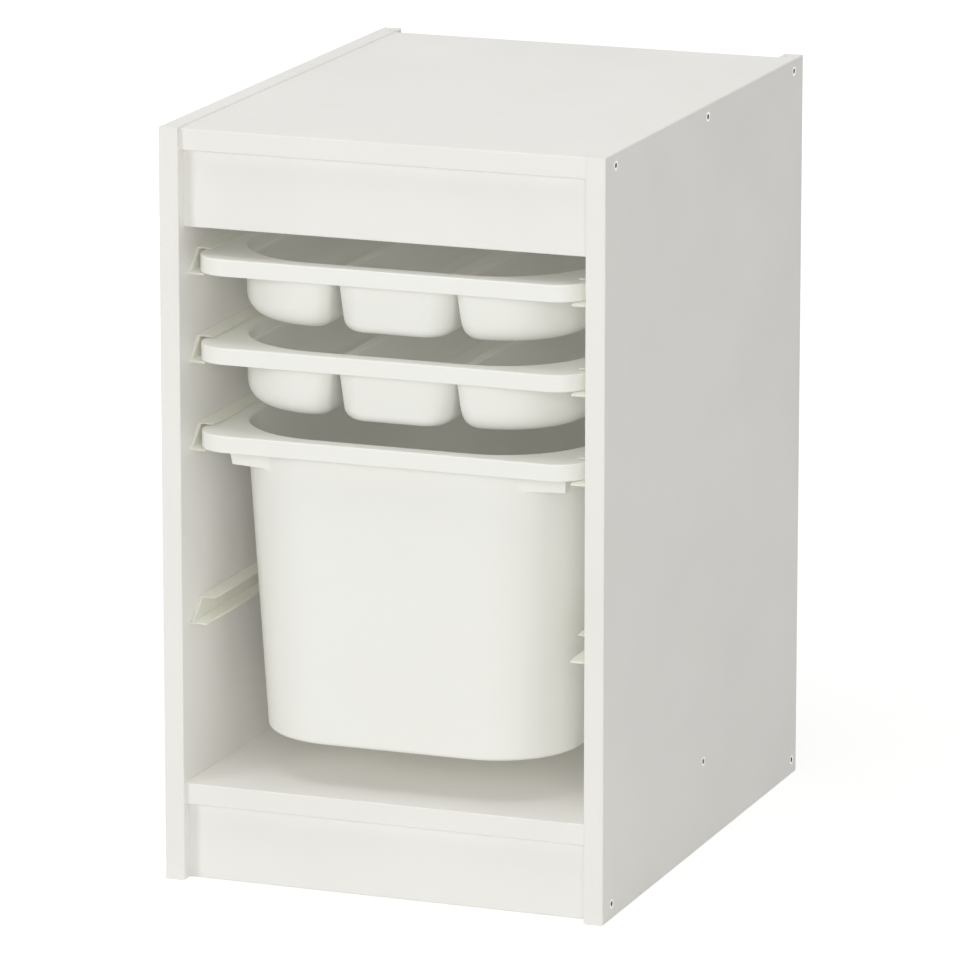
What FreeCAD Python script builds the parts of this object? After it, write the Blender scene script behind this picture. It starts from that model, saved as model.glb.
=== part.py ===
"""A narrow storage frame for toys, with two divided trays and a deep bin on plastic rails.

The frame stands on the floor at z = 0.  X runs to the right, Y to the back and Z up, in
millimetres, and the origin is the middle of its footprint.  Panels are foil-faced board, held
by screws and wooden dowels.  Four pairs of rails line the sides, and the trays and the bin hang
in three of them by their rims.  The lowest pair is spare.
"""

import FreeCAD
import Part
import Sketcher
import math
import os
from types import SimpleNamespace

SIZES = {
    # the frame as a whole
    "overall_width": 340.0,
    "overall_depth": 440.0,
    "overall_height": 560.0,
    # boards
    "side_thickness": 15.0,
    "board_thickness": 16.0,
    "fascia_height": 57.0,
    "plinth_height": 57.0,
    "board_front_setback": 4.0,
    "board_rear_setback": 12.0,
    "fascia_setback": 11.0,
    "rear_plinth_setback": 3.0,
    "top_drop": 1.0,
    "edge_rounding": 1.0,
    # the thin back panel, held in saw cuts in the sides
    "back_thickness": 3.0,
    "groove_depth": 6.0,
    "groove_play": 0.2,
    "back_top_drop": 3.0,
    # screws through the sides
    "screw_length": 50.0,
    "screw_head_diameter": 7.2,
    "screw_head_height": 4.0,
    "screw_shank_diameter": 5.0,
    "screw_socket_width": 4.0,
    "screw_socket_depth": 2.5,
    "top_screw_inset": 21.5,
    "plinth_screw_height": 11.5,
    # wooden dowels
    "dowel_diameter": 8.0,
    "dowel_length": 30.0,
    "dowel_side_depth": 10.0,
    "dowel_inset": 60.0,
    "dowel_edge_distance": 13.0,
    "rail_dowel_spacing": 200.0,
    # nails through the back panel
    "nail_length": 20.0,
    "nail_diameter": 1.6,
    "nail_head_diameter": 4.0,
    "nail_head_height": 0.8,
    "nail_spacing": 90.0,
    "hole_play": 0.2,
    # the levels that the rims hang at, measured at the top of the rim
    "upper_tray_level": 465.0,
    "lower_tray_level": 400.0,
    "bin_level": 335.0,
    "spare_level": 205.0,
    # rails
    "rail_length": 404.0,
    "rail_setback": 16.0,
    "rail_web": 2.5,
    "rail_flange": 2.2,
    "rail_reach": 13.0,
    "rail_top_setback": 15.0,
    "rail_lead_in": 23.0,
    "rail_lead_depth": 2.0,
    "rail_seat_play": 0.3,
    "rail_top_play": 0.4,
    "rail_peg_diameter": 6.0,
    "rail_peg_length": 8.0,
    "rail_peg_inset": 45.0,
    # the rim that the trays and the bin share
    "rim_width": 300.0,
    "rim_length": 420.0,
    "rim_height": 12.5,
    "rim_corner": 30.0,
    "rim_setback": 6.0,
    "rim_rounding": 3.0,
    "mouth_rounding": 4.0,
    "mould_wall": 2.5,
    "body_side_inset": 15.0,
    "body_end_inset": 10.5,
    "body_corner": 75.0,
    # the deep bin
    "bin_depth": 230.0,
    "bin_side_draft": 15.0,
    "bin_end_draft": 11.0,
    "bin_base_rounding": 9.0,
    # the stops under the bin's rim, one near each corner
    "stop_inner_reach": 98.0,
    "stop_outer_reach": 130.0,
    "stop_height": 27.5,
    "stop_setback": 23.5,
    "stop_depth": 10.0,
    # the trays, each with three cups
    "tray_depth": 50.0,
    "tray_side_draft": 3.0,
    "tray_end_draft": 3.0,
    "divider_drop": 8.5,
    "divider_offset": 46.5,
    "divider_gap": 2.5,
    "divider_draft": 4.5,
    "outer_cup_corner": 66.0,
    "side_cup_corner_top": 11.5,
    "side_cup_corner_base": 13.0,
    "middle_cup_corner": 20.0,
    "cup_base_rounding": 12.0,
}

DRAWING = FreeCAD.newDocument("storage_frame")
SHEET = DRAWING.addObject("Spreadsheet::Sheet", "Sizes")


class Size:
    """A length that carries both its number and the cell formula that gives it."""

    def __init__(self, number, formula):
        self.number = float(number)
        self.formula = formula

    def joined(self, other, sign, number):
        return Size(number, f"({self.formula} {sign} {other.formula})")

    def __add__(self, other):
        other = as_size(other)
        return self.joined(other, "+", self.number + other.number)

    def __sub__(self, other):
        other = as_size(other)
        return self.joined(other, "-", self.number - other.number)

    def __mul__(self, other):
        other = as_size(other)
        return self.joined(other, "*", self.number * other.number)

    def __truediv__(self, other):
        other = as_size(other)
        return self.joined(other, "/", self.number / other.number)

    def __neg__(self):
        return Size(0, "0") - self


def as_size(quantity):
    """A plain number as a Size, so that both can stand in one sum."""
    if isinstance(quantity, Size):
        return quantity
    return Size(quantity, str(quantity))


def fill_sheet():
    """Writes the driving dimensions to the sheet and returns them by name."""
    named = {}
    for row, (name, number) in enumerate(SIZES.items(), start=1):
        SHEET.set(f"A{row}", name)
        SHEET.set(f"B{row}", str(number))
        SHEET.setAlias(f"B{row}", name)
        named[name] = Size(number, f"Sizes.{name}")
    DRAWING.recompute()
    return SimpleNamespace(**named)


dim = fill_sheet()
zero = Size(0, "0")

inner_width = dim.overall_width - dim.side_thickness * 2
board_depth = dim.overall_depth - dim.board_front_setback - dim.board_rear_setback
top_underside = dim.overall_height - dim.top_drop - dim.board_thickness
rear_plinth_front = dim.overall_depth - dim.rear_plinth_setback - dim.board_thickness
back_front = dim.overall_depth - dim.board_rear_setback + dim.groove_play / 2
half_board = dim.board_thickness / 2
pilot_diameter = dim.screw_shank_diameter + dim.hole_play
pilot_depth = dim.screw_length - dim.side_thickness + dim.hole_play
head_hole_diameter = dim.screw_head_diameter + dim.hole_play
dowel_hole_diameter = dim.dowel_diameter + dim.hole_play
dowel_board_depth = dim.dowel_length - dim.dowel_side_depth
nail_hole_diameter = dim.nail_diameter + dim.hole_play / 2
rail_slot = dim.rim_height + dim.rail_seat_play + dim.rail_top_play
levels = (dim.upper_tray_level, dim.lower_tray_level, dim.bin_level, dim.spare_level)
peg_places = (
    dim.rail_top_setback + dim.rail_peg_inset,
    dim.rail_length / 2,
    dim.rail_length - dim.rail_peg_inset,
)


class Board:
    """A board between the two sides: its place, its size and what holds its ends."""

    def __init__(self, label, front, bottom, deep, tall, screws, dowels):
        self.label = label
        self.front = front
        self.bottom = bottom
        self.deep = deep
        self.tall = tall
        self.screws = screws
        self.dowels = dowels

    def in_frame(self, holes):
        """Hole places in the side panel's own depth and height."""
        return [(self.front + y, self.bottom + z) for y, z in holes]


def frame_boards():
    """The five boards that join the sides."""
    from_front = dim.top_screw_inset - dim.board_front_setback
    from_rear = dim.overall_depth - dim.top_screw_inset - dim.board_front_setback
    middle = dim.overall_depth / 2 - dim.board_front_setback
    flat_dowels = [(dim.dowel_inset, half_board), (board_depth - dim.dowel_inset, half_board)]
    near_top = (half_board, dim.plinth_height - dim.dowel_edge_distance)
    low_screw = [(half_board, dim.plinth_screw_height)]
    return [
        Board(
            "top_panel",
            dim.board_front_setback,
            top_underside,
            board_depth,
            dim.board_thickness,
            [(from_front, half_board), (middle, half_board), (from_rear, half_board)],
            flat_dowels,
        ),
        Board(
            "bottom_shelf",
            dim.board_front_setback,
            dim.plinth_height,
            board_depth,
            dim.board_thickness,
            [(middle, half_board)],
            flat_dowels,
        ),
        Board(
            "front_rail",
            dim.fascia_setback,
            top_underside - dim.fascia_height,
            dim.board_thickness,
            dim.fascia_height,
            [],
            [
                (half_board, dim.dowel_edge_distance),
                (half_board, dim.fascia_height - dim.dowel_edge_distance),
            ],
        ),
        Board(
            "front_plinth",
            dim.fascia_setback,
            zero,
            dim.board_thickness,
            dim.plinth_height,
            low_screw,
            [near_top],
        ),
        Board(
            "rear_plinth",
            rear_plinth_front,
            zero,
            dim.board_thickness,
            dim.plinth_height,
            low_screw,
            [near_top],
        ),
    ]


BOARDS = {board.label: board for board in frame_boards()}


def bind(thing, path, size):
    """Ties one property of an object to the sheet."""
    thing.setExpression(path, as_size(size).formula)


def place(thing, x, y, z):
    for axis, size in zip("xyz", (x, y, z)):
        bind(thing, f"Placement.Base.{axis}", size)


def new_body(label):
    body = DRAWING.addObject("PartDesign::Body", label)
    body.Label = label
    return body


def new_sketch(body, plane, offset=zero):
    """A sketch on one of the body's own origin planes, moved along the plane's normal."""
    sketch = body.newObject("Sketcher::SketchObject", f"{body.Name}_outline")
    role = f"{plane}_Plane"
    support = [feature for feature in body.Origin.OriginFeatures if feature.Role == role]
    sketch.AttachmentSupport = [(support[0], "")]
    sketch.MapMode = "FlatFace"
    bind(sketch, "AttachmentOffset.Base.z", offset)
    return sketch


def limit(sketch, kind, size, *where):
    """Adds a dimension to a sketch and ties it to the sheet."""
    index = sketch.addConstraint(Sketcher.Constraint(kind, *where, size.number))
    bind(sketch, f"Constraints[{index}]", size)


def pin(sketch, element, corner, x, y):
    """Fixes one point of a sketch by its distances from the sketch's origin."""
    limit(sketch, "DistanceX", as_size(x), -1, 1, element, corner)
    limit(sketch, "DistanceY", as_size(y), -1, 1, element, corner)


def draw_polygon(sketch, corners):
    """A closed outline of straight lines through the corners."""
    corners = [(as_size(x), as_size(y)) for x, y in corners]
    points = [FreeCAD.Vector(x.number, y.number, 0) for x, y in corners]
    lines = []
    for start, end in zip(points, points[1:] + points[:1]):
        lines.append(sketch.addGeometry(Part.LineSegment(start, end)))
    for line, following in zip(lines, lines[1:] + lines[:1]):
        sketch.addConstraint(Sketcher.Constraint("Coincident", line, 2, following, 1))
    for line, (x, y) in zip(lines, corners):
        pin(sketch, line, 1, x, y)


def draw_rectangle(sketch, left, bottom, right, top):
    draw_polygon(sketch, [(left, bottom), (right, bottom), (right, top), (left, top)])


def draw_circles(sketch, centres, diameter):
    for x, y in centres:
        centre = FreeCAD.Vector(x.number, y.number, 0)
        ring = Part.Circle(centre, FreeCAD.Vector(0, 0, 1), diameter.number / 2)
        element = sketch.addGeometry(ring)
        pin(sketch, element, 3, x, y)
        limit(sketch, "Diameter", diameter, element)


class Outline:
    """A rectangle with a radius of its own at each corner, in plan."""

    def __init__(self, left, front, right, rear, left_radius, right_radius):
        self.left = left
        self.front = front
        self.right = right
        self.rear = rear
        self.left_radius = left_radius
        self.right_radius = right_radius

    def inside(self, wall):
        """The same outline, drawn in by a wall."""
        return Outline(
            self.left + wall,
            self.front + wall,
            self.right - wall,
            self.rear - wall,
            self.left_radius - wall,
            self.right_radius - wall,
        )


def blend(first, last, share):
    """The outline part of the way from one outline to another."""
    mixed = []
    for name in ("left", "front", "right", "rear", "left_radius", "right_radius"):
        start = getattr(first, name)
        mixed.append(start + (getattr(last, name) - start) * share)
    return Outline(*mixed)


def draw_outline(sketch, shape):
    """Four straight sides and four tangent corner arcs."""
    left, right = shape.left.number, shape.right.number
    front, rear = shape.front.number, shape.rear.number
    near, far = shape.left_radius.number, shape.right_radius.number
    up = FreeCAD.Vector(0, 0, 1)
    quarter = math.pi / 2

    def line(x1, y1, x2, y2):
        start = FreeCAD.Vector(x1, y1, 0)
        end = FreeCAD.Vector(x2, y2, 0)
        return sketch.addGeometry(Part.LineSegment(start, end))

    def arc(x, y, radius, turn):
        circle = Part.Circle(FreeCAD.Vector(x, y, 0), up, radius)
        return sketch.addGeometry(Part.ArcOfCircle(circle, turn * quarter, (turn + 1) * quarter))

    sides = [
        line(left + near, front, right - far, front),
        line(right, front + far, right, rear - far),
        line(right - far, rear, left + near, rear),
        line(left, rear - near, left, front + near),
    ]
    corners = [
        arc(right - far, front + far, far, 3),
        arc(right - far, rear - far, far, 0),
        arc(left + near, rear - near, near, 1),
        arc(left + near, front + near, near, 2),
    ]
    radii = [shape.right_radius, shape.right_radius, shape.left_radius, shape.left_radius]
    for index, corner in enumerate(corners):
        following = sides[(index + 1) % 4]
        sketch.addConstraint(Sketcher.Constraint("Tangent", sides[index], 2, corner, 1))
        sketch.addConstraint(Sketcher.Constraint("Tangent", corner, 2, following, 1))
        limit(sketch, "Radius", radii[index], corner)
    for side, kind in zip(sides, ("Horizontal", "Vertical", "Horizontal", "Vertical")):
        sketch.addConstraint(Sketcher.Constraint(kind, side))
    limit(sketch, "DistanceY", shape.front, -1, 1, sides[0], 1)
    limit(sketch, "DistanceX", shape.right, -1, 1, sides[1], 1)
    limit(sketch, "DistanceY", shape.rear, -1, 1, sides[2], 1)
    limit(sketch, "DistanceX", shape.left, -1, 1, sides[3], 1)


def pad(body, sketch, length, backwards=False):
    """Adds material from a sketch along its normal, or against it."""
    feature = body.newObject("PartDesign::Pad", f"{body.Name}_pad")
    feature.Profile = sketch
    feature.Reversed = backwards
    bind(feature, "Length", length)
    DRAWING.recompute()
    return feature


def pocket(body, sketch, depth, along=False):
    """Cuts from a sketch against its normal, or along it, and checks that it cut something."""
    before = body.Tip.Shape.Volume
    feature = body.newObject("PartDesign::Pocket", f"{body.Name}_cut")
    feature.Profile = sketch
    feature.Reversed = along
    bind(feature, "Length", depth)
    DRAWING.recompute()
    if feature.Shape.Volume >= before:
        raise RuntimeError(f"{body.Label}: a cut removed nothing")
    return feature


def loft(body, kind, upper, top_height, lower, base_height):
    """Adds or cuts the form between two outlines at two heights."""
    sections = []
    for shape, height in ((upper, top_height), (lower, base_height)):
        sketch = new_sketch(body, "XY", height)
        draw_outline(sketch, shape)
        sections.append(sketch)
    DRAWING.recompute()
    feature = body.newObject(f"PartDesign::{kind}Loft", f"{body.Name}_{kind.lower()}")
    feature.Profile = sections[0]
    feature.Sections = [sections[1]]
    feature.Ruled = True
    DRAWING.recompute()
    return feature


def round_edges(body, chosen, radius):
    """Fillets the edges of the body that a test picks out by their place."""
    base = body.Tip
    names = [f"Edge{i}" for i, edge in enumerate(base.Shape.Edges, start=1) if chosen(edge)]
    if not names:
        raise RuntimeError(f"{body.Label}: no edge to round")
    feature = body.newObject("PartDesign::Fillet", f"{body.Name}_fillet")
    feature.Base = (base, names)
    bind(feature, "Radius", radius)
    DRAWING.recompute()
    return feature


def lies_at(edge, axis, size):
    """Whether an edge lies wholly in the plane at one place along an axis."""
    box = edge.BoundBox
    low = getattr(box, f"{axis}Min")
    high = getattr(box, f"{axis}Max")
    return abs(low - size.number) < 0.01 and abs(high - size.number) < 0.01


def runs_along(edge, axis):
    """Whether an edge runs straight along an axis."""
    box = edge.BoundBox
    across = [name for name in "XYZ" if name != axis]
    return all(getattr(box, f"{name}Length") < 0.01 for name in across)


def drill(body, plane, offset, holes, diameter, depth, along=False):
    """Drills round holes into a board from one of its faces."""
    sketch = new_sketch(body, plane, offset)
    draw_circles(sketch, holes, diameter)
    pocket(body, sketch, depth, along)


def side_holes():
    """Every screw, dowel and rail peg hole of a side panel, by depth and height."""
    screws = []
    dowels = []
    for board in BOARDS.values():
        screws += board.in_frame(board.screws)
        dowels += board.in_frame(board.dowels)
    pegs = []
    for level in levels:
        for along in peg_places:
            pegs.append((dim.rail_setback + along, peg_height(level)))
    return screws, dowels, pegs


def peg_height(level):
    """The height of a rail's middle, where its pegs are."""
    return level + dim.rail_top_play - rail_slot / 2


def make_side(label, on_left):
    """One side panel: a cut board with a rounded rim, holes and the back panel's groove."""
    if on_left:
        left_edge, outer_face, inner_face = -dim.overall_width / 2, zero, dim.side_thickness
    else:
        left_edge, outer_face, inner_face = inner_width / 2, dim.side_thickness, zero
    body = new_body(label)
    outline = new_sketch(body, "YZ")
    draw_rectangle(outline, zero, zero, dim.overall_depth, dim.overall_height)
    pad(body, outline, dim.side_thickness)
    round_edges(body, lambda edge: not runs_along(edge, "X"), dim.edge_rounding)
    screws, dowels, pegs = side_holes()
    groove = new_sketch(body, "YZ", inner_face)
    groove_front = back_front - dim.groove_play / 2
    groove_rear = groove_front + dim.back_thickness + dim.groove_play
    draw_rectangle(groove, groove_front, zero, groove_rear, dim.overall_height)
    pocket(body, groove, dim.groove_depth, not on_left)
    through = dim.side_thickness
    drill(body, "YZ", outer_face, screws, head_hole_diameter, dim.screw_head_height, on_left)
    drill(body, "YZ", inner_face, screws, pilot_diameter, through, not on_left)
    drill(body, "YZ", inner_face, dowels, dowel_hole_diameter, dim.dowel_side_depth, not on_left)
    peg_hole_diameter = dim.rail_peg_diameter + dim.hole_play
    drill(body, "YZ", inner_face, pegs, peg_hole_diameter, dim.rail_peg_length, not on_left)
    place(body, left_edge, -dim.overall_depth / 2, zero)
    return body


def upright_dowels():
    """Where the dowels between an upright board and the flat one on it stand, along X."""
    middle = inner_width / 2
    return (middle - dim.rail_dowel_spacing / 2, middle + dim.rail_dowel_spacing / 2)


def make_board(label):
    """One board between the sides, drilled for what joins it."""
    board = BOARDS[label]
    body = new_body(label)
    outline = new_sketch(body, "XY")
    draw_rectangle(outline, zero, zero, inner_width, board.deep)
    pad(body, outline, board.tall)
    round_edges(
        body,
        lambda edge: runs_along(edge, "X") and lies_at(edge, "Y", zero),
        dim.edge_rounding,
    )
    for end, along in ((zero, True), (inner_width, False)):
        if board.screws:
            drill(body, "YZ", end, board.screws, pilot_diameter, pilot_depth, along)
        drill(body, "YZ", end, board.dowels, dowel_hole_diameter, dowel_board_depth, along)
    half_dowel = dim.dowel_length - half_board
    seat = dim.fascia_setback - board.front + half_board
    holes = [(x, seat) for x in upright_dowels()]
    if label in ("front_rail", "front_plinth"):
        drill(body, "XY", board.tall, holes, dowel_hole_diameter, half_dowel)
    if label == "bottom_shelf":
        drill(body, "XY", zero, holes, dowel_hole_diameter, half_board, True)
    if label == "top_panel":
        drill(body, "XY", zero, holes, dowel_hole_diameter, half_board, True)
    if label in ("top_panel", "bottom_shelf"):
        nails = [(x, half_board) for x in nail_places()]
        reach = dim.nail_length - dim.back_thickness + dim.hole_play
        drill(body, "XZ", -board.deep, nails, nail_hole_diameter, reach, True)
    place(body, -inner_width / 2, board.front - dim.overall_depth / 2, board.bottom)
    return body


NAILED = ("bottom_shelf", "top_panel")


def nail_places():
    """Where the nails stand along a board, from its left end."""
    middle = inner_width / 2
    return (middle - dim.nail_spacing, middle, middle + dim.nail_spacing)


def back_size():
    """The back panel's width and height."""
    wide = inner_width + (dim.groove_depth - dim.groove_play) * 2
    tall = dim.overall_height - dim.back_top_drop - dim.plinth_height
    return wide, tall


def nail_heights():
    """The nails' heights on the back panel, from its lower edge."""
    return [BOARDS[name].bottom + half_board - dim.plinth_height for name in NAILED]


def make_back():
    """The thin back panel, standing on the rear plinth in the sides' grooves."""
    wide, tall = back_size()
    body = new_body("back_panel")
    outline = new_sketch(body, "XZ")
    draw_rectangle(outline, zero, zero, wide, tall)
    pad(body, outline, dim.back_thickness, True)
    overhang = (wide - inner_width) / 2
    holes = [(x + overhang, z) for z in nail_heights() for x in nail_places()]
    drill(body, "XZ", zero, holes, nail_hole_diameter, dim.back_thickness)
    place(body, -wide / 2, back_front - dim.overall_depth / 2, dim.plinth_height)
    return body


def rail_outline(sketch):
    """The rail's C section: a web on the wall and two flanges."""
    top = rail_slot + dim.rail_flange
    draw_polygon(
        sketch,
        [
            (zero, -dim.rail_flange),
            (dim.rail_reach, -dim.rail_flange),
            (dim.rail_reach, zero),
            (dim.rail_web, zero),
            (dim.rail_web, rail_slot),
            (dim.rail_reach, rail_slot),
            (dim.rail_reach, top),
            (zero, top),
        ],
    )


def lead_in(body, front, height, depth):
    """Cuts the slant at the front of one flange's free edge, which guides a rim in."""
    sketch = new_sketch(body, "XY", height)
    past = dim.rail_reach + dim.rail_lead_depth
    near = dim.rail_reach - dim.rail_lead_depth
    before = front - dim.rail_lead_depth
    end = front + dim.rail_lead_in
    corners = [(near, before), (near, front), (dim.rail_reach, end), (past, end), (past, before)]
    draw_polygon(sketch, corners)
    pocket(body, sketch, depth)


def make_rail(label, level, on_left):
    """One moulded rail, with pegs behind it that plug into the side panel."""
    body = new_body(label if on_left else f"{label}_pattern")
    section = new_sketch(body, "XZ")
    rail_outline(section)
    pad(body, section, dim.rail_length, True)
    slant = new_sketch(body, "YZ")
    top = rail_slot + dim.rail_flange
    past = top + dim.rail_flange
    before = -dim.rail_flange
    draw_polygon(
        slant,
        [
            (before, zero),
            (zero, zero),
            (dim.rail_top_setback, rail_slot),
            (dim.rail_top_setback, past),
            (before, past),
        ],
    )
    pocket(body, slant, dim.rail_reach, True)
    lead_in(body, zero, zero, dim.rail_flange)
    lead_in(body, dim.rail_top_setback, top, dim.rail_flange)
    pegs = new_sketch(body, "YZ")
    draw_circles(pegs, [(along, rail_slot / 2) for along in peg_places], dim.rail_peg_diameter)
    pad(body, pegs, dim.rail_peg_length - dim.hole_play, True)
    front = dim.rail_setback - dim.overall_depth / 2
    floor = level - dim.rim_height - dim.rail_seat_play
    place(body, -inner_width / 2, front, floor)
    if on_left:
        return body
    mirrored = DRAWING.addObject("Part::Mirroring", label)
    mirrored.Label = label
    mirrored.Source = body
    mirrored.Normal = FreeCAD.Vector(1, 0, 0)
    return mirrored


def rim_outline():
    """The outside of the rim in plan, about its own middle."""
    half_wide = dim.rim_width / 2
    half_long = dim.rim_length / 2
    return Outline(-half_wide, -half_long, half_wide, half_long, dim.rim_corner, dim.rim_corner)


def body_outline(side_draft, end_draft):
    """The outside of the wall under the rim in plan, drawn in by a draft."""
    half_wide = dim.rim_width / 2 - dim.body_side_inset - side_draft
    half_long = dim.rim_length / 2 - dim.body_end_inset - end_draft
    radius = dim.body_corner - end_draft
    return Outline(-half_wide, -half_long, half_wide, half_long, radius, radius)


def add_rim(body):
    """The rim that hangs in the rails: a flat lip with a skirt round it."""
    outside = rim_outline()
    skirt = new_sketch(body, "XY", -dim.rim_height)
    draw_outline(skirt, outside)
    draw_outline(skirt, outside.inside(dim.mould_wall))
    pad(body, skirt, dim.rim_height)
    lip = new_sketch(body, "XY", -dim.mould_wall)
    draw_outline(lip, outside)
    pad(body, lip, dim.mould_wall)
    round_edges(body, lambda edge: lies_at(edge, "Z", zero), dim.rim_rounding)


def add_stops(body):
    """The stops under the rim near its corners: a front plate with a short return each."""
    sketch = new_sketch(body, "XY", -dim.stop_height)
    wall = dim.mould_wall
    near = dim.stop_inner_reach
    far = dim.stop_outer_reach
    front = dim.rim_length / 2 - dim.stop_setback
    back = front - dim.stop_depth
    for across in (-1, 1):
        for away in (-1, 1):
            corners = [
                (near, front),
                (far, front),
                (far, back),
                (far - wall, back),
                (far - wall, front - wall),
                (near, front - wall),
            ]
            draw_polygon(sketch, [(x * across, y * away) for x, y in corners])
    pad(body, sketch, dim.stop_height - dim.mould_wall / 2)


def make_bin():
    """The deep bin: rim, stops, drafted walls and rounded base, moulded in one piece."""
    body = new_body("storage_bin")
    add_rim(body)
    add_stops(body)
    mouth = body_outline(zero, zero)
    foot = body_outline(dim.bin_side_draft, dim.bin_end_draft)
    loft(body, "Additive", mouth, -dim.mould_wall / 2, foot, -dim.bin_depth)
    wall = dim.mould_wall
    cavity_floor = blend(mouth, foot, (dim.bin_depth - wall) / dim.bin_depth)
    floor_height = wall - dim.bin_depth
    loft(body, "Subtractive", mouth.inside(wall), zero, cavity_floor.inside(wall), floor_height)
    round_base(body, dim.bin_depth, dim.bin_base_rounding)
    round_mouth(body, mouth.inside(wall))
    place(body, zero, rim_middle(), dim.bin_level)
    return body


def round_base(body, depth, radius):
    """Rounds a moulding's base, inside first, so that the wall keeps its thickness."""
    floor_height = dim.mould_wall - depth
    inner_radius = radius - dim.mould_wall
    round_edges(body, lambda edge: lies_at(edge, "Z", floor_height), inner_radius)
    round_edges(body, lambda edge: lies_at(edge, "Z", -depth), radius)


def round_mouth(body, opening):
    """Rounds the lip's inner edge."""
    inside = opening.right.number + 0.01

    def at_mouth(edge):
        return lies_at(edge, "Z", zero) and edge.BoundBox.XMax < inside

    round_edges(body, at_mouth, dim.mouth_rounding)


def rim_middle():
    """The middle of the rim along Y in the frame."""
    return dim.rim_setback + dim.rim_length / 2 - dim.overall_depth / 2


def cup_outlines(whole, gap, side_corner, outer_corner, middle_corner):
    """The three cups' outlines in plan, left to right, from the outline around them all."""
    left_wall = -dim.divider_offset - gap / 2
    right_wall = dim.divider_offset + gap / 2
    near = -dim.divider_offset + gap / 2
    far = dim.divider_offset - gap / 2
    front, rear = whole.front, whole.rear
    return [
        Outline(whole.left, front, left_wall, rear, outer_corner, side_corner),
        Outline(near, front, far, rear, middle_corner, middle_corner),
        Outline(right_wall, front, whole.right, rear, side_corner, outer_corner),
    ]


def make_tray(label, level):
    """A shallow tray: three cups side by side under one rim, moulded in one piece."""
    body = new_body(label)
    wall = dim.mould_wall
    collar_height = dim.divider_drop + wall
    add_rim(body)
    mouth = body_outline(zero, zero)
    foot = body_outline(dim.tray_side_draft, dim.tray_end_draft)
    collar = blend(mouth, foot, collar_height / dim.tray_depth)
    shared = blend(mouth, foot, dim.divider_drop / dim.tray_depth).inside(wall)
    loft(body, "Additive", mouth, -wall / 2, collar, -collar_height)
    tops = cup_outlines(
        collar,
        dim.divider_gap,
        dim.side_cup_corner_top,
        collar.left_radius,
        dim.middle_cup_corner,
    )
    bases = cup_outlines(
        foot,
        dim.divider_gap + dim.divider_draft * 2,
        dim.side_cup_corner_base,
        dim.outer_cup_corner,
        dim.middle_cup_corner,
    )
    cup_height = dim.tray_depth - collar_height
    for top, base in zip(tops, bases):
        loft(body, "Additive", top, -collar_height, base, -dim.tray_depth)
    loft(body, "Subtractive", mouth.inside(wall), zero, shared, -dim.divider_drop)
    floor_height = wall - dim.tray_depth
    for top, base in zip(tops, bases):
        upper = blend(top, base, -wall / cup_height).inside(wall)
        lower = blend(top, base, (cup_height - wall) / cup_height).inside(wall)
        loft(body, "Subtractive", upper, -dim.divider_drop, lower, floor_height)
    round_base(body, dim.tray_depth, dim.cup_base_rounding)
    round_mouth(body, mouth.inside(wall))
    place(body, zero, rim_middle(), level)
    return body


def rod(name, x, y, z, diameter, length, direction):
    """A plain round rod along one axis, from one end."""
    cylinder = DRAWING.addObject("Part::Cylinder", name)
    turn = FreeCAD.Rotation(FreeCAD.Vector(0, 0, 1), direction)
    cylinder.Placement.Rotation = turn
    bind(cylinder, "Radius", diameter / 2)
    bind(cylinder, "Height", length)
    place(cylinder, x, y, z)
    return cylinder


def joined(name, pieces):
    fused = DRAWING.addObject("Part::MultiFuse", name)
    fused.Shapes = pieces
    return fused


def group(label, solids):
    """Several like solids as one sub-part."""
    compound = DRAWING.addObject("Part::Compound", label)
    compound.Label = label
    compound.Links = solids
    return compound


def make_screws(label, side):
    """The six screws through one side panel: side is -1 for the left and 1 for the right."""
    inwards = FreeCAD.Vector(-side, 0, 0)
    face = dim.overall_width / 2 * side
    under_head = face - dim.screw_head_height * side
    screws, _, _ = side_holes()
    solids = []
    for depth, height in screws:
        y = depth - dim.overall_depth / 2
        head = rod("head", face, y, height, dim.screw_head_diameter, dim.screw_head_height, inwards)
        reach = dim.screw_length - dim.screw_head_height
        shank = rod("shank", under_head, y, height, dim.screw_shank_diameter, reach, inwards)
        socket = DRAWING.addObject("Part::Prism", "socket")
        socket.Polygon = 6
        socket.Placement.Rotation = FreeCAD.Rotation(FreeCAD.Vector(0, 0, 1), inwards)
        bind(socket, "Circumradius", dim.screw_socket_width / math.sqrt(3))
        bind(socket, "Height", dim.screw_socket_depth)
        place(socket, face, y, height)
        screw = DRAWING.addObject("Part::Cut", "screw")
        screw.Base = joined("screw_blank", [head, shank])
        screw.Tool = socket
        solids.append(screw)
    return group(label, solids)


def make_side_dowels(label, side):
    """The dowels between one side panel and the boards."""
    inwards = FreeCAD.Vector(-side, 0, 0)
    clear = dim.hole_play / 2
    start = (inner_width / 2 + dim.dowel_side_depth - clear) * side
    _, dowels, _ = side_holes()
    solids = []
    for depth, height in dowels:
        y = depth - dim.overall_depth / 2
        length = dim.dowel_length - dim.hole_play
        solids.append(rod("dowel", start, y, height, dim.dowel_diameter, length, inwards))
    return group(label, solids)


def make_upright_dowels(label, board, above):
    """The two dowels between an upright board and the flat board that lies on it."""
    downwards = FreeCAD.Vector(0, 0, -1)
    start = BOARDS[above].bottom + half_board - dim.hole_play / 2
    y = BOARDS[board].front + half_board - dim.overall_depth / 2
    length = dim.dowel_length - dim.hole_play
    solids = []
    for along in upright_dowels():
        x = along - inner_width / 2
        solids.append(rod("dowel", x, y, start, dim.dowel_diameter, length, downwards))
    return group(label, solids)


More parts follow.
